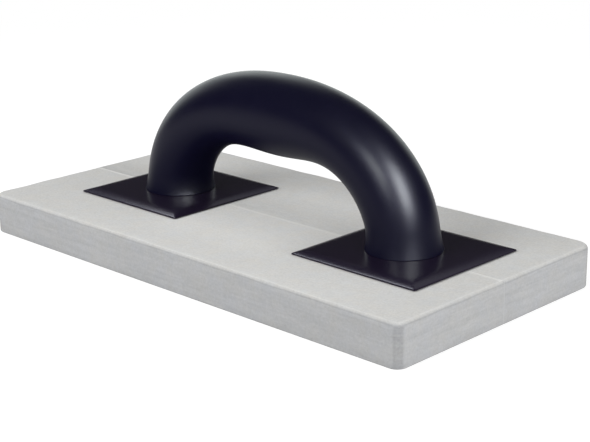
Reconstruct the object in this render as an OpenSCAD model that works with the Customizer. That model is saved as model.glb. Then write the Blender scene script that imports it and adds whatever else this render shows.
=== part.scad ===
// Sanding block: a rigid foam board with an arched handle on two square feet.
// X runs along the board, Y across it and Z up. The origin is the middle of the sole.

/* [Board] */
// Length of the foam board
board_l = 280; // [270:5:340]
// Width of the foam board
board_w = 140; // [100:5:180]
// Thickness of the foam board
board_t = 20; // [16:1:30]
// Radius of the board's upright corners
corner_r = 7; // [4:0.5:12]
// Radius that eases the board's top edges
edge_r = 2; // [1:0.25:3]
// Width of the glued joint between the two halves of the board
seam_w = 0.6; // [0.3:0.1:1.5]

/* [Handle] */
// Distance between the middles of the two legs
leg_pitch = 153; // [146:1:158]
// How far the handle sits from the middle, towards +X
handle_shift = 7; // [0:1:12]
// Height of the handle's top above its feet
arch_h = 70.3; // [64:0.5:80]
// Roundness of the outer curve: 2 is an ellipse, more is squarer
arch_power = 2.16; // [2:0.02:2.6]
// Height of the finger opening before the belly is taken off
opening_h = 38.8; // [36:0.2:42]
// How far the grip bellies down into the opening
belly = 8.6; // [0:0.2:10]
// How tightly the belly keeps to the middle of the grip
belly_power = 8; // [4:1:12]
// Thickness of a leg along the board, where it meets the foot
leg_l = 33.5; // [30:0.5:38]
// Width of a leg across the board, where it meets the foot
leg_w = 34; // [30:0.5:38]
// Width of the grip across the board, at its top
grip_w = 32; // [28:0.5:36]

/* [Feet] */
// Side of a square foot plate
foot_side = 73; // [66:0.5:74]
// Thickness of a foot plate under its leg
foot_t = 2; // [2:0.25:4]
// Thickness of a foot plate at its rim
rim_t = 0.5; // [0.5:0.1:1]
// Width of the rolled edge between the rim and the flat top
roll_w = 7; // [4:0.5:10]
// Diameter of the boss under a foot plate
boss_d = 30; // [28:0.5:34]
// Depth of that boss below the plate
boss_h = 6; // [5:0.5:9]
// Thickness of the glue between a foot plate and the board
glue_t = 0.3; // [0.2:0.1:0.6]

/* [Screws] */
// Shank diameter of a screw
screw_d = 4; // [3.5:0.1:4.5]
// Length of a screw under its head
screw_l = 24; // [18:1:26]
// Head diameter
head_d = 8; // [7:0.2:8.4]
// Head height
head_h = 3; // [2.4:0.1:3.4]
// Distance between the two screws in a leg
screw_gap = 16; // [14:0.5:16]

/* [Hidden] */
$fn = 64;
over = 1;            // how far a cutter reaches past the face that it cuts
boss_play = 0.3;     // room round and under a boss in its pocket
pad_inset = 2;       // distance of a glue pad's edge from the foot's rim
hole_play = 0.2;     // room round a screw where it passes a foot
pilot_play = 0.02;   // room round a screw where it bites into a leg
pilot_spare = 1.5;   // depth of a pilot hole past the screw's point
tip_h = 3;           // length of a screw's point
drive_w = 1;         // width of the cross slot in a head
drive_l = 4.6;       // length of the cross slot
drive_h = 1.6;       // depth of the cross slot
rings = 64;          // sections along the handle
sides = 36;          // corners of each section

foot_z = board_t + glue_t;                 // underside of the foot plates
leg_z = foot_z + foot_t;                   // top of the foot plates, where the legs stand
boss_z = foot_z - boss_h;                  // underside of the bosses
seat_z = boss_z + head_h + 0.4;            // where the screw heads bear
roll_drop = foot_t - rim_t;
roll_r = (roll_w * roll_w + roll_drop * roll_drop) / (2 * roll_drop);
outer_a = (leg_pitch + leg_l) / 2;         // half span of the outer curve
inner_a = (leg_pitch - leg_l) / 2;         // half span of the finger opening

// A board with rounded upright corners and eased top edges: two crossing slabs whose
// ends are rounded in profile, and a turned post in each corner.
module eased_edge(run) {
    square([run - edge_r, board_t]);
    square([run, board_t - edge_r]);
    translate([run - edge_r, board_t - edge_r]) circle(edge_r);
}

module eased_profile(half) {
    eased_edge(half);
    mirror([1, 0]) eased_edge(half);
}

module corner_post() {
    rotate_extrude() intersection() {
        eased_edge(corner_r);
        square([corner_r, board_t]);
    }
}

module eased_board() {
    rotate([90, 0, 0]) linear_extrude(board_w - 2 * corner_r, center = true)
        eased_profile(board_l / 2);
    rotate([90, 0, 90]) linear_extrude(board_l - 2 * corner_r, center = true)
        eased_profile(board_w / 2);
    for (x = [-1, 1], y = [-1, 1])
        translate([x * (board_l / 2 - corner_r), y * (board_w / 2 - corner_r), 0])
            corner_post();
}

// The place of each leg: side is -1 for the left one and 1 for the right one.
module at_leg(side) {
    translate([handle_shift + side * leg_pitch / 2, 0, 0]) children();
}

module at_screws() {
    for (x = [-0.5, 0.5]) translate([x * screw_gap, 0, 0]) children();
}

module boss_pockets() {
    for (side = [-1, 1]) at_leg(side)
        translate([0, 0, boss_z - boss_play])
            cylinder(h = boss_h + over + glue_t + boss_play, d = boss_d + 2 * boss_play);
}

// The stretch of the board from y0 to y1, with the two round pockets for the feet's bosses.
module board_strip(y0, y1) {
    difference() {
        intersection() {
            eased_board();
            translate([-board_l, y0, -over])
                cube([2 * board_l, y1 - y0, board_t + 2 * over]);
        }
        boss_pockets();
    }
}

module board_near() {
    color("gainsboro") board_strip(-board_w, -seam_w / 2);
}

module board_far() {
    color("gainsboro") board_strip(seam_w / 2, board_w);
}

module board_glue_line() {
    color("whitesmoke") board_strip(-seam_w / 2, seam_w / 2);
}

module glue_pad(side) {
    pad = foot_side - 2 * pad_inset;
    color("ivory") at_leg(side) difference() {
        translate([-pad / 2, -pad / 2, board_t]) cube([pad, pad, glue_t]);
        translate([0, 0, board_t - over])
            cylinder(h = glue_t + 2 * over, d = boss_d + 2 * boss_play);
    }
}

// A foot plate's profile: flat in the middle, rolled down to a thin rim at both ends.
module foot_profile() {
    flat = foot_side / 2 - roll_w;
    difference() {
        translate([-foot_side / 2, 0]) square([foot_side, foot_t]);
        for (m = [0, 1]) mirror([m, 0]) difference() {
            translate([flat, 0]) square([roll_w + over, foot_t + over]);
            translate([flat, foot_t - roll_r]) circle(roll_r, $fn = 360);
            translate([flat, -over]) square([roll_w + 2 * over, over]);
        }
    }
}

module foot(side) {
    color("#181626") at_leg(side) difference() {
        union() {
            translate([0, 0, foot_z]) intersection() {
                rotate([90, 0, 0]) linear_extrude(foot_side, center = true) foot_profile();
                rotate([90, 0, 90]) linear_extrude(foot_side, center = true) foot_profile();
            }
            translate([0, 0, boss_z]) cylinder(h = boss_h, d = boss_d);
        }
        at_screws() {
            translate([0, 0, boss_z - over])
                cylinder(h = leg_z - boss_z + 2 * over, d = screw_d + 2 * hole_play);
            translate([0, 0, boss_z - over])
                cylinder(h = seat_z - boss_z + over, d = head_d + 2 * hole_play);
        }
    }
}

module screw() {
    difference() {
        translate([0, 0, seat_z - head_h]) cylinder(h = head_h, d = head_d);
        for (turn = [0, 90]) rotate(turn)
            translate([-drive_l / 2, -drive_w / 2, seat_z - head_h - over])
                cube([drive_l, drive_w, drive_h + over]);
    }
    translate([0, 0, seat_z]) cylinder(h = screw_l - tip_h, d = screw_d);
    translate([0, 0, seat_z + screw_l - tip_h])
        cylinder(h = tip_h, d1 = screw_d, d2 = screw_d / 4);
}

module screws(side) {
    color("silver") at_leg(side) at_screws() screw();
}

// The handle: sections that turn from leg to leg, each an ellipse that runs from the outer
// curve to the finger opening's curve. The angle t goes from 0 at the left foot to 180.
function power_of(v, p) = sign(v) * pow(abs(v), p);
function outer_x(t) = -outer_a * power_of(cos(t), 2 / arch_power);
function outer_z(t) = arch_h * power_of(sin(t), 2 / arch_power);
function inner_x(t) = -inner_a * cos(t);
function inner_z(t) = opening_h * sin(t) - belly * pow(sin(t), belly_power);
function half_w(t) = (leg_w + (grip_w - leg_w) * sin(t)) / 2;
function section(t) = [for (k = [0 : sides - 1])
    let (a = 360 * k / sides, share = (1 + cos(a)) / 2)
    [handle_shift + share * outer_x(t) + (1 - share) * inner_x(t),
     half_w(t) * sin(a),
     leg_z + share * outer_z(t) + (1 - share) * inner_z(t)]];

module bow() {
    points = [for (i = [0 : rings]) each section(180 * i / rings)];
    walls = [for (i = [0 : rings - 1], k = [0 : sides - 1])
        let (a = i * sides + k, b = i * sides + (k + 1) % sides)
        each [[a, b, a + sides], [b, b + sides, a + sides]]];
    start_cap = [for (k = [sides - 1 : -1 : 0]) k];
    end_cap = [for (k = [0 : sides - 1]) rings * sides + k];
    polyhedron(points, concat([start_cap], walls, [end_cap]));
}

module handle() {
    color("#181626") difference() {
        bow();
        for (side = [-1, 1]) at_leg(side) at_screws()
            translate([0, 0, leg_z - over])
                cylinder(h = seat_z + screw_l + pilot_spare - leg_z + over,
                         d = screw_d + 2 * pilot_play);
    }
}

board_near();
board_far();
board_glue_line();
glue_pad(-1);  // glue_pad_left
glue_pad(1);  // glue_pad_right
foot(-1);  // foot_left
foot(1);  // foot_right
screws(-1);  // screws_left
screws(1);  // screws_right
handle();
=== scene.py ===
"""Dresses the packed sanding block: a foam board of two glued halves, two feet and an arched handle.

Lengths are in metres in the part's own frame: X along the board, Y across it and Z up from the sole.
"""
import logging
import math
from collections.abc import Sequence
from dataclasses import dataclass
from enum import Enum

import bmesh
import bpy
from bpy.types import Material, Mesh, NodeSocket, NodeTree, Object
from mathutils import Matrix, Vector, noise


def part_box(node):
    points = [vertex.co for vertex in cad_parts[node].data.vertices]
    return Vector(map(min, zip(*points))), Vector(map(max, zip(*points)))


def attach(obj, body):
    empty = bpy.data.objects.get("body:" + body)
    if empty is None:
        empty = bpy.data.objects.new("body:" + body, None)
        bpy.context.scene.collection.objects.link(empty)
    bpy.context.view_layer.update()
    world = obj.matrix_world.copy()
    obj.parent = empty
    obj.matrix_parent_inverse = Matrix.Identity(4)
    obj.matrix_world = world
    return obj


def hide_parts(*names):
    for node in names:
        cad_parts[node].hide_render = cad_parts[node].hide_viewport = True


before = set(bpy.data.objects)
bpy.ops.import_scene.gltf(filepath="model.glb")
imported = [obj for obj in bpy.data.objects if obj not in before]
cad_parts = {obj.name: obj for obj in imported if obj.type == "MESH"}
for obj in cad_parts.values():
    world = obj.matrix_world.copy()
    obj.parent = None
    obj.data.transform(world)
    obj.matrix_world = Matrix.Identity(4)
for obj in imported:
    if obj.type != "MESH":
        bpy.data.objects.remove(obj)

log = logging.getLogger("sanding_block")

BODY = "root"
MM = 0.001
OVER = 1 * MM                   # how far a cutter reaches past the face that it enters
CREASE = math.radians(35.0)     # angle between faces from which an edge stays sharp
SAME_PLACE = 1e-6               # distance at which points of a sweep are one
ON_PLANE = 1e-7                 # distance at which a point lies on a cutting plane
WHITE = (1.0, 1.0, 1.0)

Colour = tuple[float, float, float]
Point = tuple[float, float, float]
Range = tuple[float, float]
Spot = tuple[float, float]


# ---- node trees

class Wire:
    """One output socket of a node tree, on which Python's operators add Math nodes."""

    def __init__(self, graph: "Graph", socket: NodeSocket) -> None:
        """Keeps the socket, and the graph that new nodes go into."""
        self.graph = graph
        self.socket = socket

    def __add__(self, other: "Wire | float") -> "Wire":
        """The sum."""
        return self.graph.math("ADD", self, other)

    def __radd__(self, other: float) -> "Wire":
        """The sum, with a number first."""
        return self.graph.math("ADD", other, self)

    def __sub__(self, other: "Wire | float") -> "Wire":
        """The difference."""
        return self.graph.math("SUBTRACT", self, other)

    def __rsub__(self, other: float) -> "Wire":
        """The difference, with a number first."""
        return self.graph.math("SUBTRACT", other, self)

    def __mul__(self, other: "Wire | float") -> "Wire":
        """The product."""
        return self.graph.math("MULTIPLY", self, other)

    def __rmul__(self, other: float) -> "Wire":
        """The product, with a number first."""
        return self.graph.math("MULTIPLY", other, self)

    def __truediv__(self, other: "Wire | float") -> "Wire":
        """The quotient."""
        return self.graph.math("DIVIDE", self, other)

    def __rtruediv__(self, other: float) -> "Wire":
        """The quotient, with a number first."""
        return self.graph.math("DIVIDE", other, self)

    def __pow__(self, other: "Wire | float") -> "Wire":
        """The power."""
        return self.graph.math("POWER", self, other)

    def __neg__(self) -> "Wire":
        """The value with its sign turned."""
        return self.graph.math("MULTIPLY", self, -1.0)

    def __abs__(self) -> "Wire":
        """The size of the value."""
        return self.graph.math("ABSOLUTE", self)


@dataclass(frozen=True)
class Noise:
    """A layer of soft noise: the size of its features, and how much finer noise it carries.

    A stretch gives the features per metre along each axis instead, so that they run into streaks.
    """

    size: float = 1.0
    detail: float = 3.0
    roughness: float = 0.5
    stretch: Point | None = None
    place: Point = (0.0, 0.0, 0.0)


class Graph:
    """A shader or geometry node tree, filled by plain expressions."""

    def __init__(self, tree: NodeTree) -> None:
        """Empties the tree and keeps it."""
        self.tree = tree
        tree.nodes.clear()

    @staticmethod
    def _find(sockets: Sequence[NodeSocket], key: str | int) -> NodeSocket:
        """Finds a socket.

        Args:
            sockets: A node's inputs or outputs.
            key: The socket's place, identifier or name.

        Returns:
            The socket, found by its identifier first and then by its name.
        """
        if isinstance(key, int):
            return sockets[key]
        exact = [s for s in sockets if s.identifier == key]
        return (exact or [s for s in sockets if s.name == key])[0]

    def node(self, kind: str, inputs: dict[str | int, object] | None = None,
             settings: dict[str, object] | None = None, out: str | int = 0) -> Wire | None:
        """Adds any node.

        Args:
            kind: The node's type, such as "ShaderNodeTexNoise".
            inputs: A number, tuple, data-block or Wire for each socket, by place, identifier or name.
            settings: The node's own properties, set before the inputs.
            out: The output that the expression goes on from.

        Returns:
            That output, or None for a node that has none.
        """
        made = self.tree.nodes.new(kind)
        for name, value in (settings or {}).items():
            setattr(made, name, value)
        for key, value in (inputs or {}).items():
            socket = self._find(made.inputs, key)
            if isinstance(value, Wire):
                self.tree.links.new(value.socket, socket)
            else:
                socket.default_value = value
        return Wire(self, self._find(made.outputs, out)) if len(made.outputs) else None

    def also(self, wire: Wire, out: str | int) -> Wire:
        """Another output of the node that a wire comes from."""
        return Wire(self, self._find(wire.socket.node.outputs, out))

    def coordinates(self, kind: str = "Object") -> Wire:
        """Texture coordinates, by default the object's own."""
        return self.node("ShaderNodeTexCoord", out=kind)

    def axes(self, vector: Wire) -> tuple[Wire, Wire, Wire]:
        """The X, Y and Z of a vector."""
        split = self.node("ShaderNodeSeparateXYZ", {0: vector})
        return split, self.also(split, 1), self.also(split, 2)

    def math(self, operation: str, *values: "Wire | float", clamp: bool = False) -> Wire:
        """The result of a Math node, kept between 0 and 1 if it is clamped."""
        return self.node("ShaderNodeMath", dict(enumerate(values)),
                         {"operation": operation, "use_clamp": clamp})

    def ramp(self, value: Wire, start: float, end: float) -> Wire:
        """A smooth step: 0 at the start and before it, 1 at the end and past it."""
        return self.node("ShaderNodeMapRange", {"Value": value, "From Min": start, "From Max": end},
                         {"interpolation_type": "SMOOTHSTEP"})

    def mix_colour(self, factor: "Wire | float", a: "Wire | Sequence[float]",
                   b: "Wire | Sequence[float]", blend: str = "MIX") -> Wire:
        """Two colours in a blend, in which the factor says how much the second one counts."""
        return self.node("ShaderNodeMix", {"Factor_Float": factor, "A_Color": a, "B_Color": b},
                         {"data_type": "RGBA", "blend_type": blend}, "Result_Color")

    def shade(self, colour: "Wire | Sequence[float]", level: Wire) -> Wire:
        """A colour made lighter or darker by a level, where 1 leaves it alone."""
        grey = self.node("ShaderNodeCombineColor", {0: level, 1: level, 2: level})
        return self.mix_colour(1.0, colour, grey, "MULTIPLY")

    def cloud(self, vector: Wire, layer: Noise) -> Wire:
        """Adds a layer of noise.

        Args:
            vector: The coordinates.
            layer: The noise.

        Returns:
            A value about 0, from roughly -1 to 1.
        """
        if layer.stretch is not None:
            vector = self.node("ShaderNodeMapping", {
                "Vector": vector, "Location": layer.place, "Scale": layer.stretch})
        raw = self.node("ShaderNodeTexNoise", {
            "Vector": vector, "Scale": 1.0 / layer.size, "Detail": layer.detail,
            "Roughness": layer.roughness})
        return raw * 2.0 - 1.0

    def relief(self, strength: float, depth: float, height: Wire) -> Wire:
        """The normal over a relief of that strength, depth in metres and height."""
        return self.node("ShaderNodeBump", {"Strength": strength, "Distance": depth, "Height": height})


def rgba(colour: Sequence[float]) -> tuple[float, float, float, float]:
    """A colour with full alpha."""
    return (colour[0], colour[1], colour[2], 1.0)


# ---- finishes

class Finish:
    """A procedural material that knows its own name."""

    name: str = "finish"

    def material(self) -> Material:
        """Gives the material.

        Returns:
            The material, made once and then shared.
        """
        found = bpy.data.materials.get(self.name)
        if found is None:
            found = bpy.data.materials.new(self.name)
            found.use_nodes = True
            graph = Graph(found.node_tree)
            shader = self.surface(graph)
            graph.node("ShaderNodeOutputMaterial", {"Surface": shader})
        return found

    def surface(self, graph: Graph) -> Wire:
        """Builds the nodes in the material's empty tree, and gives the shader's output."""
        raise NotImplementedError


@dataclass(frozen=True)
class Foam(Finish):
    """Rigid foam: cut cells, clouds, saw lines on the sides, smeared glue, painted shade and painted
    light.
    """

    # The tones of the top and of the sides, between which the foam drifts; the sides' darker tone is
    # painted shade.
    warm: Colour = (0.703, 0.694, 0.665)
    cool: Colour = (0.689, 0.696, 0.693)
    shaded_side_warm: Colour = (0.431, 0.4305, 0.4267)
    shaded_side_cool: Colour = (0.4209, 0.4286, 0.4441)
    drift: Noise = Noise(detail=4.0, roughness=0.8, stretch=(90, 90, 90), place=(5, 2, 1))
    drift_range: Range = (-0.45, 0.45)

    # Where a face counts as side, flat top or eased edge, by its normal.
    side_range: Range = (0.95, 0.35)
    flat_range: Range = (0.90, 0.99)
    edge_range: Range = (0.004, 0.11)

    # The foam's own pattern, and how far each layer moves the tone.
    cells: Noise = Noise(1.1 * MM, 4.0, 0.65)
    mottles: Noise = Noise(5 * MM, 4.0, 0.75)
    blotches: Noise = Noise(22 * MM, 5.0, 0.6)
    saw_lines: Noise = Noise(detail=4.0, roughness=0.65, stretch=(28, 28, 480))
    pits_per_cell: float = 0.7
    pit_range: Range = (0.05, 0.30)
    cell_tone: float = 0.18
    mottle_tone: float = 0.08
    blotch_tone: float = 0.030
    saw_tone: float = 0.18
    # Painted shade: the eased edges and the pits are darkened.
    edge_shade_tone: float = -0.20
    pit_shade_tone: float = -0.05

    # The same layers in the relief and in the gloss.
    cell_relief: float = 0.35
    saw_relief: float = 0.55
    pit_relief: float = -0.6
    mottle_relief: float = 0.2
    relief_strength: float = 0.35
    relief_depth: float = 0.12 * MM
    roughness: float = 0.82
    cell_roughness: float = 0.05
    blotch_roughness: float = 0.04
    specular: float = 0.25

    # Glue smeared along the joint, and a painted shadow in the strip behind it, which fades towards +X.
    patches: Noise = Noise(detail=3.0, roughness=0.6, stretch=(60, 300, 60))
    smear_tone: float = 0.09
    smear_place: float = -0.5 * MM
    smear_range: Range = (0.66 * MM, 1.32 * MM)
    joint_shadow_tone: float = -0.11
    joint_shadow_from: float = 1.1 * MM
    joint_shadow_width: float = 26 * MM
    joint_shadow_length: Range = (115 * MM, 50 * MM)

    # Painted light: lighter near the middle and under the grip, where the handle's shade falls; darker
    # towards the ends.
    middle_light_tone: float = 0.06
    middle_light_place: float = 25 * MM
    middle_light_range: Range = (40 * MM, 150 * MM)
    grip_light_tone: float = 0.13
    grip_light_place: float = -16 * MM
    grip_light_length: Range = (20 * MM, 70 * MM)
    grip_light_width: Range = (15 * MM, 45 * MM)
    name: str = "rigid_foam"

    def surface(self, graph: Graph) -> Wire:
        """Builds the foam's nodes.

        Args:
            graph: The material's empty tree.

        Returns:
            The shader's output.
        """
        at = graph.coordinates()
        facing_x, facing_y, facing_z = graph.axes(graph.also(at, "Normal"))
        upward = abs(facing_z)
        largest = graph.math("MAXIMUM", graph.math("MAXIMUM", abs(facing_x), abs(facing_y)), upward)
        edge = graph.ramp(1.0 - largest, *self.edge_range)
        side = graph.ramp(upward, *self.side_range)
        flat = graph.ramp(upward, *self.flat_range)

        cells = graph.cloud(at, self.cells)
        mottles = graph.cloud(at, self.mottles)
        blotches = graph.cloud(at, self.blotches)
        saw = side * graph.cloud(at, self.saw_lines)
        spacing = graph.node("ShaderNodeTexVoronoi", {
            "Vector": at, "Scale": self.pits_per_cell / self.cells.size})
        pit = 1.0 - graph.ramp(spacing, *self.pit_range)

        level = (1.0 + self.cell_tone * cells + self.mottle_tone * mottles
                 + self.blotch_tone * blotches + self.saw_tone * saw
                 + self.edge_shade_tone * edge + self.pit_shade_tone * pit
                 + flat * (self.beside_joint(graph, at) + self.lit_middle(graph, at)))
        drift = graph.ramp(graph.cloud(at, self.drift), *self.drift_range)
        top = graph.mix_colour(drift, rgba(self.warm), rgba(self.cool))
        shaded_flank = graph.mix_colour(drift, rgba(self.shaded_side_warm), rgba(self.shaded_side_cool))
        height = (self.cell_relief * cells + self.saw_relief * saw + self.pit_relief * pit
                  + self.mottle_relief * mottles)
        return graph.node("ShaderNodeBsdfPrincipled", {
            "Base Color": graph.shade(graph.mix_colour(side, top, shaded_flank), level),
            "Roughness": (self.roughness + self.cell_roughness * cells
                          + self.blotch_roughness * blotches),
            "Specular IOR Level": self.specular,
            "Normal": graph.relief(self.relief_strength, self.relief_depth, height)})

    def beside_joint(self, graph: Graph, at: Wire) -> Wire:
        """How the top changes by the glued joint: paler under smeared glue, with a painted shadow
        behind it.

        Args:
            graph: The material's graph.
            at: Object coordinates.

        Returns:
            What to add to the foam's level.
        """
        x, y, _ = graph.axes(at)
        pale = 1.0 - graph.ramp(abs(y - self.smear_place), *self.smear_range)
        behind = (graph.ramp(y, 0.0, self.joint_shadow_from)
                  * (1.0 - graph.ramp(y, self.joint_shadow_from, self.joint_shadow_width)))
        shadowed = behind * graph.ramp(x, *self.joint_shadow_length)
        patchy = 1.0 + graph.cloud(at, self.patches)
        return (self.smear_tone * pale + self.joint_shadow_tone * shadowed) * patchy

    def lit_middle(self, graph: Graph, at: Wire) -> Wire:
        """How the top's level changes: painted light lifts it near the middle and under the grip, and
        it grows darker towards the ends.

        Args:
            graph: The material's graph.
            at: Object coordinates.

        Returns:
            What to add to the foam's level.
        """
        x, y, _ = graph.axes(at)
        ends = graph.ramp(abs(x - self.middle_light_place), *self.middle_light_range)
        under_grip = ((1.0 - graph.ramp(abs(x), *self.grip_light_length))
                      * (1.0 - graph.ramp(abs(y - self.grip_light_place), *self.grip_light_width)))
        return self.middle_light_tone * (1.0 - 2.0 * ends) + self.grip_light_tone * under_grip


@dataclass(frozen=True)
class DriedGlue(Finish):
    """Hardened glue, paler and glossier than the foam on top, and at the sides as dark as the foam's
    painted shade.
    """

    colour: Colour = (0.83, 0.83, 0.805)
    shaded_side_colour: Colour = (0.439, 0.444, 0.448)
    side_range: Range = (0.99, 0.85)
    lumps: Noise = Noise(3 * MM, 4.0)
    film: Noise = Noise(15 * MM, 2.0)
    lump_tone: float = 0.05
    film_tone: float = 0.04
    relief_strength: float = 0.3
    relief_depth: float = 0.1 * MM
    roughness: float = 0.6
    lump_roughness: float = 0.12
    name: str = "dried_glue"

    def surface(self, graph: Graph) -> Wire:
        """Builds the glue's nodes.

        Args:
            graph: The material's empty tree.

        Returns:
            The shader's output.
        """
        at = graph.coordinates()
        upward = graph.axes(graph.also(at, "Normal"))[2]
        side = graph.ramp(abs(upward), *self.side_range)
        lumps = graph.cloud(at, self.lumps)
        film = graph.cloud(at, self.film)
        tone = graph.mix_colour(side, rgba(self.colour), rgba(self.shaded_side_colour))
        level = 1.0 + self.lump_tone * lumps + self.film_tone * film
        return graph.node("ShaderNodeBsdfPrincipled", {
            "Base Color": graph.shade(tone, level),
            "Roughness": self.roughness + self.lump_roughness * lumps,
            "Normal": graph.relief(self.relief_strength, self.relief_depth, lumps)})


@dataclass(frozen=True)
class MouldedPlastic(Finish):
    """Navy-black moulded plastic with a satin, finely grained skin."""

    colour: Colour = (0.0032, 0.0028, 0.0134)
    grains: Noise = Noise(0.45 * MM, 2.0)
    flows: Noise = Noise(16 * MM, 4.0, 0.55)
    scuffs: Noise = Noise(detail=5.0, roughness=0.7, stretch=(60, 420, 420))
    scuff_range: Range = (0.25, 0.8)
    flow_tone: float = 0.10
    scuff_tone: float = 0.12
    flow_relief: float = 0.5
    relief_strength: float = 0.5
    relief_depth: float = 0.02 * MM
    roughness: float = 0.36
    flow_roughness: float = 0.05
    scuff_roughness: float = 0.05
    grain_roughness: float = 0.02
    specular: float = 0.11
    name: str = "moulded_plastic"

    def surface(self, graph: Graph) -> Wire:
        """Builds the plastic's nodes.

        Args:
            graph: The material's empty tree.

        Returns:
            The shader's output.
        """
        at = graph.coordinates()
        grains = graph.cloud(at, self.grains)
        flows = graph.cloud(at, self.flows)
        scuffs = graph.ramp(graph.cloud(at, self.scuffs), *self.scuff_range)
        level = 1.0 + self.flow_tone * flows + self.scuff_tone * scuffs
        height = grains + self.flow_relief * flows
        return graph.node("ShaderNodeBsdfPrincipled", {
            "Base Color": graph.shade(rgba(self.colour), level),
            "Roughness": (self.roughness + self.flow_roughness * flows
                          + self.scuff_roughness * scuffs + self.grain_roughness * grains),
            "Specular IOR Level": self.specular,
            "Normal": graph.relief(self.relief_strength, self.relief_depth, height)})


@dataclass(frozen=True)
class ZincPlate(Finish):
    """Bright zinc on steel, with crystals and a faint brushed line."""

    colour: Colour = (0.62, 0.63, 0.64)
    crystal: float = 0.9 * MM
    brushing: Noise = Noise(detail=2.0, stretch=(400, 400, 4000))
    darkest: float = 0.92
    crystal_tone: float = 0.16
    relief_strength: float = 0.2
    relief_depth: float = 0.02 * MM
    roughness: float = 0.30
    crystal_roughness: float = 0.10
    brushing_roughness: float = 0.04
    name: str = "zinc_plate"

    def surface(self, graph: Graph) -> Wire:
        """Builds the zinc's nodes.

        Args:
            graph: The material's empty tree.

        Returns:
            The shader's output.
        """
        at = graph.coordinates()
        crystals = graph.node("ShaderNodeTexVoronoi", {"Vector": at, "Scale": 1.0 / self.crystal})
        lines = graph.cloud(at, self.brushing)
        return graph.node("ShaderNodeBsdfPrincipled", {
            "Base Color": graph.shade(rgba(self.colour), self.darkest + self.crystal_tone * crystals),
            "Metallic": 1.0,
            "Roughness": (self.roughness + self.crystal_roughness * crystals
                          + self.brushing_roughness * lines),
            "Normal": graph.relief(self.relief_strength, self.relief_depth, lines)})


# ---- mesh helpers

def object_from(name: str, mesh: Mesh) -> Object:
    """Puts a mesh in the scene.

    Args:
        name: The object's name.
        mesh: Its mesh.

    Returns:
        The object, at the origin.
    """
    made = bpy.data.objects.new(name, mesh)
    bpy.context.scene.collection.objects.link(made)
    return made


def evaluated_copy(source: Object, name: str) -> Mesh:
    """Copies an object's mesh with its modifiers in it.

    Args:
        source: The object.
        name: The new mesh's name.

    Returns:
        The plain mesh.
    """
    graph = bpy.context.evaluated_depsgraph_get()
    mesh = bpy.data.meshes.new_from_object(source.evaluated_get(graph), depsgraph=graph)
    mesh.name = name
    return mesh


def remove(*objects: Object) -> None:
    """Deletes helper objects."""
    for one in objects:
        bpy.data.objects.remove(one)


def lofted(rows: Sequence[Sequence[Vector]]) -> bmesh.types.BMesh:
    """A closed skin through rings that all have as many points.

    Args:
        rows: The rings in order, each anticlockwise seen from the end that the rows move towards.

    Returns:
        The mesh, with a flat cap on the first ring and on the last one.
    """
    made = bmesh.new()
    rings = [[made.verts.new(point) for point in row] for row in rows]
    count = len(rings[0])
    for lower, upper in zip(rings, rings[1:]):
        for k in range(count):
            n = (k + 1) % count
            made.faces.new((lower[k], lower[n], upper[n], upper[k]))
    made.faces.new(rings[0][::-1])
    made.faces.new(rings[-1])
    return made


def mesh_from(made: bmesh.types.BMesh, name: str) -> Mesh:
    """Turns a bmesh into a smooth mesh whose sharp folds stay sharp, and frees it.

    Args:
        made: The bmesh.
        name: The mesh's name.

    Returns:
        The mesh.
    """
    bmesh.ops.recalc_face_normals(made, faces=made.faces)
    for face in made.faces:
        face.smooth = True
    mesh = bpy.data.meshes.new(name)
    made.to_mesh(mesh)
    made.free()
    mesh.set_sharp_from_angle(angle=CREASE)
    return mesh


def drilled(mesh: Mesh, bores: Sequence["Bore"]) -> Mesh:
    """Cuts upright round holes into a mesh.

    Args:
        mesh: A closed mesh.
        bores: The holes.

    Returns:
        The cut mesh, under the same name.
    """
    body = object_from("body", mesh)
    cutters = [object_from("cutter", bore.mesh()) for bore in bores]
    for cutter in cutters:
        cut = body.modifiers.new("cut", "BOOLEAN")
        cut.operation = "DIFFERENCE"
        cut.solver = "EXACT"
        cut.object = cutter
    result = evaluated_copy(body, mesh.name)
    remove(body, *cutters)
    for face in result.polygons:
        face.use_smooth = True
    result.set_sharp_from_angle(angle=CREASE)
    return result


@dataclass(frozen=True)
class Bore:
    """An upright round hole."""

    centre: Spot
    diameter: float
    bottom: float
    top: float
    corners: int = 48

    def mesh(self) -> Mesh:
        """Makes the hole's cutter.

        Returns:
            A closed round bar.
        """
        turns = [2 * math.pi * k / self.corners for k in range(self.corners)]
        ring = [Vector((self.centre[0] + self.diameter / 2 * math.cos(a),
                        self.centre[1] + self.diameter / 2 * math.sin(a), 0.0)) for a in turns]
        rows = [[Vector((p.x, p.y, height)) for p in ring] for height in (self.bottom, self.top)]
        return mesh_from(lofted(rows), "bore")


@dataclass(frozen=True)
class OutlinePoint:
    """A point of a plan outline, with the way that faces outwards there."""

    place: Vector
    outward: Vector


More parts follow.
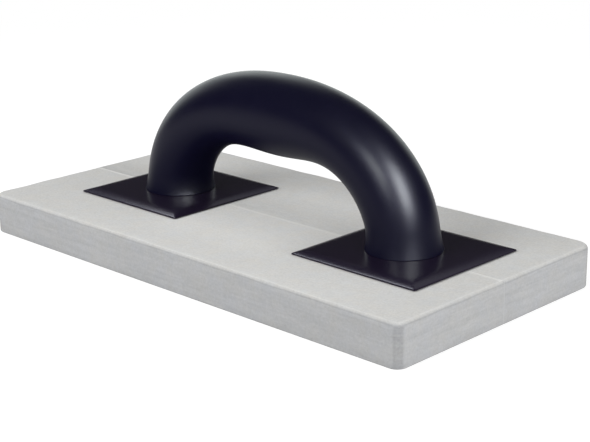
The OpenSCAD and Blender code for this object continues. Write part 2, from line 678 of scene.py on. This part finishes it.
def rounded_outline(half_x: float, half_y: float, radii: Sequence[float], pitch: float,
                    arc_steps: int = 10) -> list[OutlinePoint]:
    """The plan outline of a rectangle with round corners, anticlockwise from above.

    Args:
        half_x: Half the length along X.
        half_y: Half the width along Y.
        radii: The four corners' radii, anticlockwise from the corner at +X and +Y.
        pitch: About how far apart the points on the straight sides are.
        arc_steps: The steps round each corner.

    Returns:
        The points.
    """
    points = []
    for quarter, radius in enumerate(radii):
        middle = math.pi / 2 * quarter + math.pi / 4
        corner = Vector((math.copysign(half_x - radius, math.cos(middle)),
                         math.copysign(half_y - radius, math.sin(middle)), 0.0))
        for k in range(arc_steps + 1):
            turn = math.pi / 2 * (quarter + k / arc_steps)
            outward = Vector((math.cos(turn), math.sin(turn), 0.0))
            points.append(OutlinePoint(corner + radius * outward, outward))
        run = 2 * (half_x if quarter % 2 == 0 else half_y) - radius - radii[(quarter + 1) % 4]
        steps = max(1, round(run / pitch))
        side = Vector((-outward.y, outward.x, 0.0))
        start = points[-1].place
        points.extend(OutlinePoint(start + side * run * k / steps, outward) for k in range(1, steps))
    return points


def moved_in(point: OutlinePoint, inset: float, height: float) -> Vector:
    """An outline point taken inwards by an inset and up to a height."""
    return Vector((point.place.x - point.outward.x * inset,
                   point.place.y - point.outward.y * inset, height))


def dressed(mesh: Mesh, finish: Finish, slot: str, *nodes: str) -> Object:
    """Makes a finished piece of a mesh, which rides on the body and stands for CAD nodes.

    Args:
        mesh: Its mesh, in place, whose name the piece takes.
        finish: Its finish.
        slot: Not used.
        nodes: The CAD nodes that it replaces.

    Returns:
        The piece.
    """
    piece = object_from(mesh.name, mesh)
    piece.data.materials.clear()
    piece.data.materials.append(finish.material())
    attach(piece, BODY)
    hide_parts(*nodes)
    log.info("%s: %d faces, %s, for %s", piece.name, len(mesh.polygons), finish.name, ", ".join(nodes))
    return piece


# ---- the board

@dataclass
class FoamBoard:
    """The foam board: two halves and the glue line between them, with pockets for the feet's bosses."""

    low: Vector
    high: Vector
    seam: float
    corner_radii: tuple[float, float, float, float] = (9 * MM, 7 * MM, 8 * MM, 5 * MM)
    top_ease: float = 2 * MM
    sole_ease: float = 0.6 * MM
    unevenness: float = 0.30
    wave: float = 14 * MM
    pitch: float = 3 * MM
    margin: float = 1.2 * MM
    sole_steps: int = 3
    side_shares: tuple[float, ...] = (0.2, 0.4, 0.6, 0.8)
    top_steps: int = 7
    seed: float = 7.3

    @classmethod
    def from_frame(cls) -> "FoamBoard":
        """Takes the board's size and place from the frame.

        Returns:
            The board.
        """
        near_low, near_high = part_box("board_near")
        far_low, far_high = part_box("board_far")
        return cls(near_low, far_high, far_low.y - near_high.y)

    def ease_at(self, point: OutlinePoint) -> float:
        """The top edge's own radius at a point, which hand sanding left a little uneven."""
        place = point.place / self.wave + Vector((0, 0, self.seed))
        return self.top_ease * (1 + self.unevenness * noise.noise(place))

    def rows(self) -> list[list[Vector]]:
        """Works out the board's rings.

        Returns:
            The rings, from the sole over the sides to the top.
        """
        half = (self.high - self.low) / 2
        outline = rounded_outline(half.x, half.y, self.corner_radii, self.pitch)
        thick = self.high.z - self.low.z
        rows = [[moved_in(p, self.sole_ease + self.margin, 0.0) for p in outline]]
        for k in range(self.sole_steps + 1):
            turn = math.pi / 2 * k / self.sole_steps
            rows.append([moved_in(p, self.sole_ease * (1 - math.sin(turn)),
                                  self.sole_ease * (1 - math.cos(turn))) for p in outline])
        for share in self.side_shares:
            rows.append([moved_in(p, 0.0, self.sole_ease + share * (
                thick - self.sole_ease - self.ease_at(p))) for p in outline])
        for k in range(self.top_steps + 1):
            turn = math.pi / 2 * k / self.top_steps
            rows.append([moved_in(p, self.ease_at(p) * (1 - math.cos(turn)),
                                  thick - self.ease_at(p) * (1 - math.sin(turn))) for p in outline])
        widest = self.top_ease * (1 + self.unevenness)
        rows.append([moved_in(p, widest + self.margin, thick) for p in outline])
        return rows

    @staticmethod
    def strip(whole: Mesh, name: str, from_y: float | None, to_y: float | None) -> Mesh:
        """The stretch of the board between two upright planes, closed where it is cut.

        Args:
            whole: The board in one piece.
            name: The new mesh's name.
            from_y: The nearer plane, or None for the board's own edge.
            to_y: The farther plane, or None likewise.

        Returns:
            The mesh.
        """
        made = bmesh.new()
        made.from_mesh(whole)
        for height, sign in ((from_y, -1.0), (to_y, 1.0)):
            if height is None:
                continue
            everything = [*made.verts, *made.edges, *made.faces]
            cut = bmesh.ops.bisect_plane(made, geom=everything, dist=ON_PLANE, plane_co=(0, height, 0),
                                         plane_no=(0, sign, 0), clear_outer=True)
            rim = [e for e in cut["geom_cut"] if isinstance(e, bmesh.types.BMEdge)]
            bmesh.ops.edgenet_fill(made, edges=rim)
        return mesh_from(made, name)

    def build(self, pockets: Sequence[Bore], foam: Finish, glue: Finish) -> None:
        """Makes the two halves and the glue line.

        Args:
            pockets: The round pockets under the feet.
            foam: The halves' finish.
            glue: The glue line's finish.
        """
        whole = drilled(mesh_from(lofted(self.rows()), "board"), pockets)
        edge = self.seam / 2
        near = self.strip(whole, "board_near_foam", None, -edge)
        far = self.strip(whole, "board_far_foam", edge, None)
        line = self.strip(whole, "board_glue_seam", -edge, edge)
        bpy.data.meshes.remove(whole)
        dressed(near, foam, "board_foam", "board_near")
        dressed(far, foam, "board_foam", "board_far")
        dressed(line, glue, "board_glue", "board_glue_line")


# ---- the feet

class Side(Enum):
    """Which leg of the handle a piece belongs to."""

    LEFT = "left"
    RIGHT = "right"


@dataclass
class FootPlate:
    """A square foot: a thin plate with a rolled edge, and a round boss below it for the screws."""

    side: Side
    low: Vector
    high: Vector
    boss_depth: float = 6 * MM
    boss_diameter: float = 30 * MM
    boss_play: float = 0.3 * MM
    rim: float = 0.5 * MM
    roll: float = 7 * MM
    corner_radius: float = 0.7 * MM
    corner_growth: float = 0.35
    rim_bevel: float = 0.12 * MM
    flat_margin: float = 1 * MM
    corner_steps: int = 6
    roll_steps: int = 12
    screw_gap: float = 16 * MM
    screw_hole: float = 4.4 * MM
    head_hole: float = 8.4 * MM
    seat: float = 3.4 * MM

    @classmethod
    def from_frame(cls, side: Side) -> "FootPlate":
        """The foot with the size and place that the frame gives."""
        low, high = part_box(f"foot_{side.value}")
        return cls(side, low, high)

    @property
    def centre(self) -> Vector:
        """The middle of the foot, in plan."""
        return (self.low + self.high) / 2

    @property
    def underside(self) -> float:
        """The height of the plate's underside."""
        return self.low.z + self.boss_depth

    def pocket(self) -> Bore:
        """The pocket in the board that takes the boss."""
        return Bore((self.centre.x, self.centre.y), self.boss_diameter + 2 * self.boss_play,
                    self.low.z - self.boss_play, self.high.z + self.boss_depth)

    def screw_places(self) -> list[Spot]:
        """Where the two screws stand, in plan."""
        return [(self.centre.x + sign * self.screw_gap / 2, self.centre.y) for sign in (-1, 1)]

    def ring(self, inset: float, height: float) -> list[Vector]:
        """Works out the plate's outline, whose corners grow rounder inwards.

        Args:
            inset: How far the outline lies inside the rim.
            height: Its height.

        Returns:
            The points, anticlockwise from above.
        """
        half = (self.high.x - self.low.x) / 2 - inset
        radius = self.corner_radius + self.corner_growth * inset
        outline = rounded_outline(half, half, (radius,) * 4, 2 * half, self.corner_steps)
        return [p.place + Vector((self.centre.x, self.centre.y, height)) for p in outline]

    def round_ring(self, radius: float, height: float) -> list[Vector]:
        """Works out a circle whose points face those of the plate's outline.

        Args:
            radius: Its radius.
            height: Its height.

        Returns:
            The points, anticlockwise from above.
        """
        middle = Vector((self.centre.x, self.centre.y, 0.0))
        return [middle + (p - middle).to_2d().normalized().to_3d() * radius + Vector((0, 0, height))
                for p in self.ring(0.0, 0.0)]

    def rows(self) -> list[list[Vector]]:
        """Works out the foot's rings.

        Returns:
            The rings, from the boss's face over the rim to the flat top.
        """
        base, top = self.underside, self.high.z
        drop = top - base - self.rim
        arc = (self.roll ** 2 + drop ** 2) / (2 * drop)
        radius = self.boss_diameter / 2
        rows = [self.round_ring(radius - self.rim, self.low.z),
                self.round_ring(radius, self.low.z + self.rim),
                self.round_ring(radius, base),
                self.ring(self.rim_bevel, base),
                self.ring(0.0, base + self.rim_bevel),
                self.ring(0.0, base + self.rim - self.rim_bevel)]
        for k in range(self.roll_steps + 1):
            run = self.rim_bevel + (self.roll - self.rim_bevel) * k / self.roll_steps
            rows.append(self.ring(run, top - arc + math.sqrt(arc ** 2 - (self.roll - run) ** 2)))
        rows.append(self.ring(self.roll + self.flat_margin, top))
        return rows

    def build(self, finish: Finish) -> Object:
        """Makes the foot.

        Args:
            finish: Its finish.

        Returns:
            The piece.
        """
        bores = [Bore(place, diameter, self.low.z - OVER, top)
                 for diameter, top in ((self.screw_hole, self.high.z + OVER),
                                       (self.head_hole, self.low.z + self.seat))
                 for place in self.screw_places()]
        whole = mesh_from(lofted(self.rows()), f"foot_plate_{self.side.value}")
        return dressed(drilled(whole, bores), finish, "foot_plastic", f"foot_{self.side.value}")


# ---- the handle

@dataclass
class ArchedHandle:
    """The bow-shaped handle, swept by a rule from one foot over the grip to the other."""

    low: Vector
    high: Vector
    leg_pitch: float
    arch_power: float = 2.16
    opening: float = 38.8 * MM
    belly: float = 8.6 * MM
    belly_power: float = 8.0
    grip_width: float = 32 * MM
    foot_ease: float = 0.25 * MM
    flare: float = 1.4 * MM
    flare_height: float = 11 * MM
    pilot: float = 4.04 * MM
    pilot_depth: float = 20.9 * MM
    rings: int = 160
    corners: int = 96

    @classmethod
    def from_frame(cls, feet: Sequence[FootPlate]) -> "ArchedHandle":
        """The handle with the size and place that the frame gives, on the left foot and the right."""
        low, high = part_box("handle")
        return cls(low, high, feet[1].centre.x - feet[0].centre.x)

    @property
    def inputs(self) -> dict[str, float]:
        """The sweep's inputs.

        Returns:
            The value of each, under its name.
        """
        outer = (self.high.x - self.low.x) / 2
        return {
            "Middle": (self.high.x + self.low.x) / 2,
            "Foot Height": self.low.z,
            "Outer Half Span": outer,
            "Inner Half Span": self.leg_pitch - outer,
            "Arch Height": self.high.z - self.low.z,
            "Arch Power": self.arch_power,
            "Opening Height": self.opening,
            "Belly": self.belly,
            "Belly Power": self.belly_power,
            "Leg Width": self.high.y - self.low.y,
            "Grip Width": self.grip_width,
            "Foot Ease": self.foot_ease,
            "Flare": self.flare,
            "Flare Height": self.flare_height,
        }

    def sweep_tree(self, finish: Finish) -> tuple[NodeTree, dict[str, str]]:
        """Builds the geometry nodes that sweep the handle.

        Args:
            finish: The handle's finish.

        Returns:
            The tree, and the identifier of each named input.
        """
        tree = bpy.data.node_groups.new("handle_sweep", "GeometryNodeTree")
        face = tree.interface
        ids = {name: face.new_socket(name, in_out="INPUT", socket_type="NodeSocketFloat").identifier
               for name in self.inputs}
        face.new_socket("Geometry", in_out="OUTPUT", socket_type="NodeSocketGeometry")
        g = Graph(tree)
        first = g.node("NodeGroupInput")
        size = {name: g.also(first, name) for name in self.inputs}

        # A flat grid: its X counts the rows and its Y is the share of a turn round the section.
        # The first row and the last one close the ends.
        rows = self.rings + 2
        grid = g.node("GeometryNodeMeshGrid", {
            "Size X": float(rows), "Size Y": 1.0,
            "Vertices X": rows + 1, "Vertices Y": self.corners + 1})
        spot_x, spot_y, _ = g.axes(g.node("GeometryNodeInputPosition"))
        row = spot_x + rows / 2
        angle = (spot_y + 0.5) * (2 * math.pi)
        closing = g.ramp(row, 0.0, 0.5) * (1.0 - g.ramp(row, rows - 0.5, float(rows)))
        step = g.ramp(row, 1.0, float(rows - 1))
        turn = step * math.pi
        sine = g.math("MAXIMUM", g.math("SINE", turn), 0.0)
        cosine = g.math("COSINE", turn)

        power = 2.0 / size["Arch Power"]
        outer_x = -(size["Outer Half Span"] * g.math("SIGN", cosine) * abs(cosine) ** power)
        outer_z = size["Arch Height"] * sine ** power
        inner_x = -(size["Inner Half Span"] * cosine)
        inner_z = size["Opening Height"] * sine - size["Belly"] * sine ** size["Belly Power"]
        half_width = (size["Leg Width"] + (size["Grip Width"] - size["Leg Width"]) * sine) * 0.5

        middle_x = (outer_x + inner_x) * 0.5
        middle_z = (outer_z + inner_z) * 0.5
        reach_x = (outer_x - inner_x) * 0.5
        reach_z = (outer_z - inner_z) * 0.5
        across = g.math("COSINE", angle)
        rise = middle_z + reach_z * across
        short = g.math("MAXIMUM", size["Foot Ease"] - rise, 0.0)
        ease = size["Foot Ease"] - g.math("SQRT", size["Foot Ease"] ** 2.0 - short * short)
        reach = g.math("SQRT", reach_x * reach_x + reach_z * reach_z)
        low_down = g.math("MAXIMUM", 1.0 - rise / size["Flare Height"], 0.0)
        spread = size["Flare"] * low_down ** 2.0 - ease
        keep_in = closing * (1.0 + spread / reach)
        keep_out = closing * (1.0 + spread / half_width)
        place = g.node("ShaderNodeCombineXYZ", {
            "X": size["Middle"] + middle_x + reach_x * across * keep_in,
            "Y": half_width * g.math("SINE", angle) * keep_out,
            "Z": size["Foot Height"] + middle_z + reach_z * across * keep_in})
        swept = g.node("GeometryNodeSetPosition", {"Geometry": grid, "Position": place})
        closed = g.node("GeometryNodeMergeByDistance", {"Geometry": swept, "Distance": SAME_PLACE})
        smooth = g.node("GeometryNodeSetShadeSmooth", {"Geometry": closed})
        solid = g.node("GeometryNodeRealizeInstances", {"Geometry": smooth})
        painted = g.node("GeometryNodeSetMaterial", {"Geometry": solid, "Material": finish.material()})
        g.node("NodeGroupOutput", {"Geometry": painted})
        return tree, ids

    def swept(self, finish: Finish) -> Mesh:
        """The closed sweep as a plain mesh.

        Args:
            finish: The handle's finish.

        Returns:
            The mesh.
        """
        carrier = object_from("sweep", bpy.data.meshes.new("sweep"))
        modifier = carrier.modifiers.new("sweep", "NODES")
        modifier.node_group, ids = self.sweep_tree(finish)
        for name, value in self.inputs.items():
            modifier[ids[name]] = value
        mesh = evaluated_copy(carrier, "handle_bow")
        remove(carrier)
        made = bmesh.new()
        made.from_mesh(mesh)
        bpy.data.meshes.remove(mesh)
        return mesh_from(made, "handle_bow")

    def build(self, screws: Sequence[Spot], finish: Finish) -> Object:
        """Makes the handle, with a pilot hole for each screw.

        Args:
            screws: Where the screws stand, in plan.
            finish: The handle's finish.

        Returns:
            The piece.
        """
        bores = [Bore(place, self.pilot, self.low.z - OVER, self.low.z + self.pilot_depth)
                 for place in screws]
        mesh = drilled(self.swept(finish), bores)
        return dressed(mesh, finish, "handle_plastic", "handle")


# ---- what holds it together

@dataclass
class Fastenings:
    """The screws and the glue under the feet, which keep their CAD shapes."""

    finishes: dict[str, Finish]

    def dress(self) -> None:
        """Gives each CAD node its finish."""
        for name, finish in self.finishes.items():
            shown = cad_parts[name]
            shown.data.materials.clear()
            shown.data.materials.append(finish.material())
            log.info("%s: keeps its CAD shape, %s", name, finish.name)


# ---- the studio

class Shine(Enum):
    """What a lamp is there for: light on everything, or a gleam on one glossy sub-assembly."""

    ALL = "all"
    HANDLE = "handle"
    FEET = "feet"


@dataclass(frozen=True)
class Lamp:
    """A soft box that faces the object from an azimuth and an elevation."""

    name: str
    azimuth: float
    elevation: float
    width: float
    height: float
    watts: float
    distance: float = 1.2
    colour: Colour = WHITE
    aim: Point = (0.0, 0.0, 0.03)
    shine: Shine = Shine.ALL

    def place(self, glossy: dict[Shine, Sequence[Object]]) -> None:
        """Hangs the lamp.

        Args:
            glossy: The pieces of each glossy sub-assembly.
        """
        light = bpy.data.lights.new(self.name, "AREA")
        light.shape = "RECTANGLE"
        light.size = self.width
        light.size_y = self.height
        light.energy = self.watts
        light.color = self.colour
        lamp = bpy.data.objects.new(self.name, light)
        back = direction(self.azimuth, self.elevation)
        lamp.location = Vector(self.aim) + back * self.distance
        lamp.rotation_euler = (-back).to_track_quat("-Z", "Y").to_euler()
        lamp.visible_camera = False
        gleam_only = self.shine is not Shine.ALL
        lamp.visible_diffuse = not gleam_only
        lamp.visible_glossy = gleam_only
        if gleam_only:
            shone_on = bpy.data.collections.new(self.name)
            for piece in glossy[self.shine]:
                shone_on.objects.link(piece)
            lamp.light_linking.receiver_collection = shone_on
        bpy.context.scene.collection.objects.link(lamp)


def direction(azimuth: float, elevation: float) -> Vector:
    """The way towards a viewer: azimuth 0 stands on the -Y side and 90 on the +X side, in degrees."""
    turn, lift = math.radians(azimuth), math.radians(elevation)
    return Vector((math.sin(turn) * math.cos(lift), -math.cos(turn) * math.cos(lift), math.sin(lift)))


@dataclass
class Studio:
    """The camera, the pale floor, the soft boxes and the white surroundings."""

    azimuth: float = 44.51
    elevation: float = 17.42
    roll: float = -0.756
    distance: float = 0.777
    lens: float = 88.76
    sensor: float = 36.0
    target: Point = (-0.0317, 0.0467, 0.0002)

    # The floor, which takes the object's shadow in a pool and is plain white further out.
    floor_size: float = 8.0
    floor_cells: int = 8
    floor_colour: Colour = (0.34, 0.34, 0.34)
    floor_glow: float = 0.80
    pool: Range = (0.30, 0.75)

    # The surroundings' level as a light, and in reflections from above the horizon.
    surroundings: float = 0.565
    room: float = 0.03
    backdrop: Range = (-0.10, 0.02)

    # Two lamps light everything, four gleam on the handle and two on the feet.
    lamps: tuple[Lamp, ...] = (
        Lamp("front_box", azimuth=-11, elevation=26, width=0.90, height=0.45, watts=10.1),
        Lamp("end_box", azimuth=92, elevation=4, width=0.45, height=0.14, watts=8.3),
        Lamp("leg_strip", azimuth=69, elevation=33, width=0.44, height=0.54, watts=56.0, distance=1.0,
             colour=(0.94, 0.985, 0.93), shine=Shine.HANDLE),
        Lamp("shoulder_strip", azimuth=8, elevation=29, width=0.10, height=0.12, watts=1.8,
             distance=0.35, colour=(0.95, 1.0, 0.95), aim=(0.10, 0.0, 0.07), shine=Shine.HANDLE),
        Lamp("back_panel", azimuth=-136, elevation=14, width=3.2, height=1.1, watts=21.0, distance=1.5,
             colour=(0.94, 1.0, 0.985), shine=Shine.HANDLE),
        Lamp("back_window", azimuth=-122, elevation=35, width=0.5, height=0.6, watts=1.7, distance=1.3,
             colour=(0.94, 1.0, 0.985), shine=Shine.HANDLE),
        Lamp("front_rims", azimuth=-106, elevation=54, width=0.35, height=0.62, watts=3.7,
             colour=(0.88, 0.90, 1.0), shine=Shine.FEET),
        Lamp("end_rims", azimuth=-165, elevation=44, width=1.1, height=0.30, watts=0.55,
             colour=(0.88, 0.90, 1.0), shine=Shine.FEET),
    )

    def camera(self) -> None:
        """Sets up the camera."""
        lens = bpy.data.cameras.new("camera")
        lens.lens = self.lens
        lens.sensor_width = self.sensor
        camera = bpy.data.objects.new("camera", lens)
        back = direction(self.azimuth, self.elevation)
        turn = math.radians(self.azimuth)
        flat = Vector((math.cos(turn), math.sin(turn), 0.0))
        right = Matrix.Rotation(math.radians(self.roll), 3, back) @ flat
        up = back.cross(right)
        place = Matrix.Translation(Vector(self.target) + back * self.distance)
        camera.matrix_world = place @ Matrix((right, up, back)).transposed().to_4x4()
        bpy.context.scene.collection.objects.link(camera)
        bpy.context.scene.camera = camera

    @staticmethod
    def seen(graph: Graph) -> Wire:
        """Tells what the eye sees.

        Args:
            graph: A material's graph.

        Returns:
            1 for a ray that comes from the eye straight, mirrored or through glass, else 0.
        """
        path = graph.node("ShaderNodeLightPath", out="Is Camera Ray")
        return graph.math("ADD", path + graph.also(path, "Is Glossy Ray"),
                          graph.also(path, "Is Transmission Ray"), clamp=True)

    def floor(self) -> None:
        """Lays the floor, which looks white and still takes the object's shadow."""
        made = bmesh.new()
        bmesh.ops.create_grid(made, x_segments=self.floor_cells, y_segments=self.floor_cells,
                              size=self.floor_size / 2)
        floor = object_from("floor", mesh_from(made, "floor"))
        material = bpy.data.materials.new("pale_floor")
        material.use_nodes = True
        g = Graph(material.node_tree)
        at = g.coordinates()
        away = g.node("ShaderNodeVectorMath", {0: at}, {"operation": "LENGTH"}, "Value")
        far = g.ramp(away, *self.pool)
        seen = self.seen(g)
        paint = g.node("ShaderNodeBsdfDiffuse", {"Color": rgba(self.floor_colour)})
        glow = g.node("ShaderNodeEmission", {
            "Color": rgba(WHITE), "Strength": seen * (self.floor_glow + (1.0 - self.floor_glow) * far)})
        near = g.node("ShaderNodeAddShader", {0: paint, 1: glow})
        surface = g.node("ShaderNodeMixShader", {0: seen * far, 1: near, 2: glow})
        g.node("ShaderNodeOutputMaterial", {"Surface": surface})
        floor.data.materials.append(material)

    def world(self) -> None:
        """Makes the surroundings: an even light, white to look at, and dim overhead in reflections."""
        world = bpy.data.worlds.new("surroundings")
        world.use_nodes = True
        g = Graph(world.node_tree)
        way = g.axes(g.coordinates("Generated"))[2]
        path = g.node("ShaderNodeLightPath", out="Is Camera Ray")
        mirrored = g.also(path, "Is Glossy Ray")
        clear = g.math("ADD", path, g.also(path, "Is Transmission Ray"), clamp=True)
        below = 1.0 - g.ramp(way, *self.backdrop)
        paper = self.room + (1.0 - self.room) * below
        level = clear + mirrored * paper + (1.0 - clear) * (1.0 - mirrored) * self.surroundings
        sky = g.node("ShaderNodeBackground", {"Color": rgba(WHITE), "Strength": level})
        g.node("ShaderNodeOutputWorld", {"Surface": sky})
        bpy.context.scene.world = world

    def build(self, glossy: dict[Shine, Sequence[Object]]) -> None:
        """Sets up the camera, the floor, the surroundings and the lamps.

        Args:
            glossy: The pieces of each glossy sub-assembly.
        """
        self.camera()
        self.floor()
        self.world()
        for lamp in self.lamps:
            lamp.place(glossy)
        bpy.context.scene.view_settings.view_transform = "Standard"


def main() -> None:
    """Builds the studio and every piece of the sanding block."""
    logging.basicConfig(level=logging.INFO, format="%(name)s %(message)s")
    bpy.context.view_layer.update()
    foam, glue = Foam(), DriedGlue()
    plastic = MouldedPlastic()
    foot_plastic = MouldedPlastic(roughness=0.42, specular=0.06, name="foot_plastic")
    feet = [FootPlate.from_frame(side) for side in Side]
    screws = [place for foot in feet for place in foot.screw_places()]
    FoamBoard.from_frame().build([foot.pocket() for foot in feet], foam, glue)
    plates = [foot.build(foot_plastic) for foot in feet]
    handle = ArchedHandle.from_frame(feet).build(screws, plastic)
    zinc = ZincPlate()
    Fastenings({"glue_pad_left": glue, "glue_pad_right": glue,
                "screws_left": zinc, "screws_right": zinc}).dress()
    Studio().build({Shine.HANDLE: [handle], Shine.FEET: plates})


if __name__ == "__main__":
    main()
